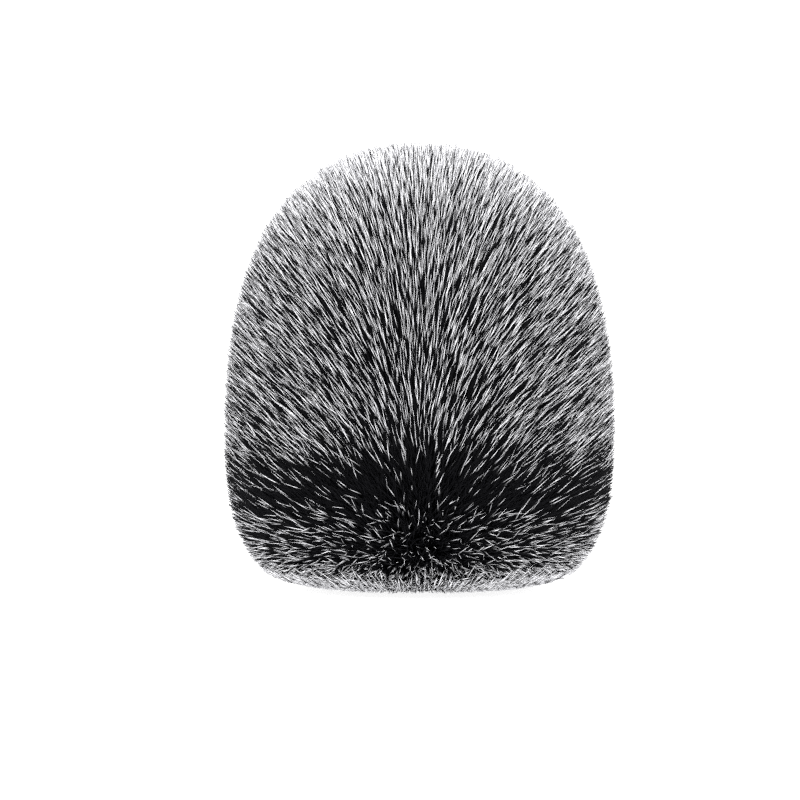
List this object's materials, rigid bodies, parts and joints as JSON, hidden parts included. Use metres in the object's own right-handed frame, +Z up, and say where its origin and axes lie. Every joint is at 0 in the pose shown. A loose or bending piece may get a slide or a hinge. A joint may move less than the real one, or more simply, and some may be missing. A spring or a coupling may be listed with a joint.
{
  "type": "furry windscreen",
  "caption": "Dome-shaped long-pile fur windscreen for a hand-held sound recorder: a sewn fur cover with an elastic neck that pulls off over a lined foam insert.",
  "frame": {"origin": "middle of the foot, on the plane that the windscreen stands on", "axes": "+Z up to the crown, +X across the width to the right, -Y the front"},
  "size_m": [0.1278, 0.1078, 0.145],
  "materials": {
    "fur": "long brushed pile, black at the root and silver at the tip",
    "tape": "black twill tape",
    "elastic": "woven elastic band",
    "thread": "polyester sewing thread",
    "foam": "open-cell polyurethane foam, matt",
    "lining": "open knitted mesh"
  },
  "bodies": {
    "foam_insert": {"foam_wall": "foam", "foam_crown": "foam", "foam_base_ring": "foam", "lining_tube": "lining", "lining_crown": "lining", "mouth_binding": "tape", "mouth_stitching": "thread"},
    "fur_cover": {"fur_gore_front_left": "fur", "fur_gore_front_right": "fur", "fur_gore_back_left": "fur", "fur_gore_back_right": "fur", "seam_tape_front": "tape", "seam_tape_back": "tape", "seam_tape_left": "tape", "seam_tape_right": "tape", "crown_patch": "tape", "base_gusset": "fur", "gusset_stitching": "thread", "neck_casing": "tape", "neck_elastic": "elastic", "casing_stitching": "thread"}
  },
  "joints": [
    {"name": "cover_lift", "type": "slide", "parent": "foam_insert", "child": "fur_cover", "axis": [0, 0, 1], "range_m": [0, 0.13], "deforming": ["base_gusset", "gusset_stitching", "neck_casing", "neck_elastic", "casing_stitching"]}
  ]
}
